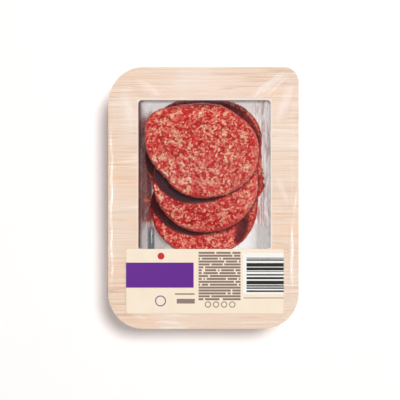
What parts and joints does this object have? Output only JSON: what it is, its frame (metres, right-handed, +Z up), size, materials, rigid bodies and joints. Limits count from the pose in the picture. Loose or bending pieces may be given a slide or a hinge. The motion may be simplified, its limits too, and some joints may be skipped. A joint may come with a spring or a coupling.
{
  "type": "sealed meat tray pack",
  "caption": "Sealed clear plastic tray of overlapping round minced-meat patties, under a wood-look printed lid film with a clear window and a paper label.",
  "frame": {"origin": "middle of the tray's foot, on the surface that the pack stands on", "axes": "+X across the pack, +Y along it towards the edge of the lid away from the label, +Z up through the lid"},
  "size_m": [0.16, 0.22, 0.0598],
  "materials": {
    "clear_tray": "clear thermoformed plastic, glossy",
    "minced_meat": "raw coarse mince, red with pink and cream fat, moist",
    "printed_film": "pale wood-grain print, satin",
    "clear_film": "clear film, glossy",
    "label_paper": "coated cream paper with printed fields"
  },
  "bodies": {
    "root": {"tray": "clear_tray", "patty_1": "minced_meat", "patty_2": "minced_meat", "patty_3": "minced_meat", "patty_4": "minced_meat", "lid_print": "printed_film", "lid_film": "clear_film", "label": "label_paper"}
  },
  "joints": []
}
